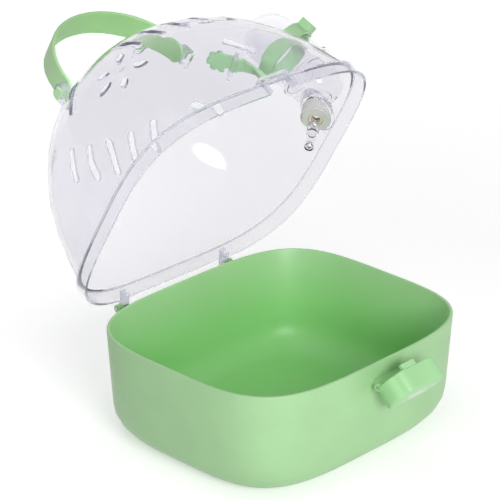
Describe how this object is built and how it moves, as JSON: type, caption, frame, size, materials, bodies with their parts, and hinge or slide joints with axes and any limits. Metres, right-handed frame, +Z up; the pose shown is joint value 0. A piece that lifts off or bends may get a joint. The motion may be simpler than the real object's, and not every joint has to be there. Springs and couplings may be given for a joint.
{
  "type": "pet keeper",
  "caption": "Round-cornered plastic keeper tub with a hinged clear dome lid, vents, front latch, strap handle and side drinking bottle.",
  "frame": {"origin": "centre of the tub's flat underside", "axes": "+Z up, +X along the hinge towards the bottle, -Y towards the latch, lid standing open 60 degrees at rest"},
  "size_m": [0.2906, 0.3624, 0.2975],
  "materials": {
    "tub_green": "satin",
    "strap_green": "gloss",
    "latch_green": "satin",
    "clear_plastic": "gloss",
    "steel": "satin",
    "silver_plastic": "satin",
    "milky_plastic": "satin",
    "beige_rubber": "matte"
  },
  "bodies": {
    "tub": {"tub": "tub_green", "hinge_pin_left": "steel", "hinge_pin_right": "steel", "latch_pin": "steel"},
    "lid": {"lid_dome": "clear_plastic", "handle_strap": "strap_green", "bottle_shell": "clear_plastic", "bottle_belt": "strap_green"},
    "latch": {"latch_flap": "latch_green", "latch_trim": "silver_plastic"},
    "seal": {"cap_seal": "beige_rubber"},
    "cap": {"bottle_cap": "milky_plastic", "spout_tube": "clear_plastic", "spout_inner_ball": "steel"},
    "ball": {"spout_ball": "steel"}
  },
  "joints": [
    {"name": "lid_hinge", "type": "hinge", "parent": "tub", "child": "lid", "pos_m": [0, 0.115, 0.0795], "axis": [1, 0, 0], "range_deg": [0, 60]},
    {"name": "latch_hinge", "type": "hinge", "parent": "tub", "child": "latch", "pos_m": [0.004, -0.1103, 0.0735], "axis": [1, 0, 0], "range_deg": [-42, 0]},
    {"name": "cap_travel", "type": "slide", "parent": "lid", "child": "seal", "axis": [-0.788, -0.5332, -0.3078], "range_m": [0, 0.008]},
    {"name": "cap_turn", "type": "hinge", "parent": "seal", "child": "cap", "pos_m": [0.1105, 0.06832, 0.20035], "axis": [-0.788, -0.5332, -0.3078], "range_deg": [0, 720]},
    {"name": "ball_push", "type": "slide", "parent": "cap", "child": "ball", "axis": [0.788, 0.5332, 0.3078], "range_m": [0, 0.0015]}
  ],
  "couplings": [
    {"joint": "cap_turn", "follows": "cap_travel", "rad_per_m": 1570.8}
  ]
}
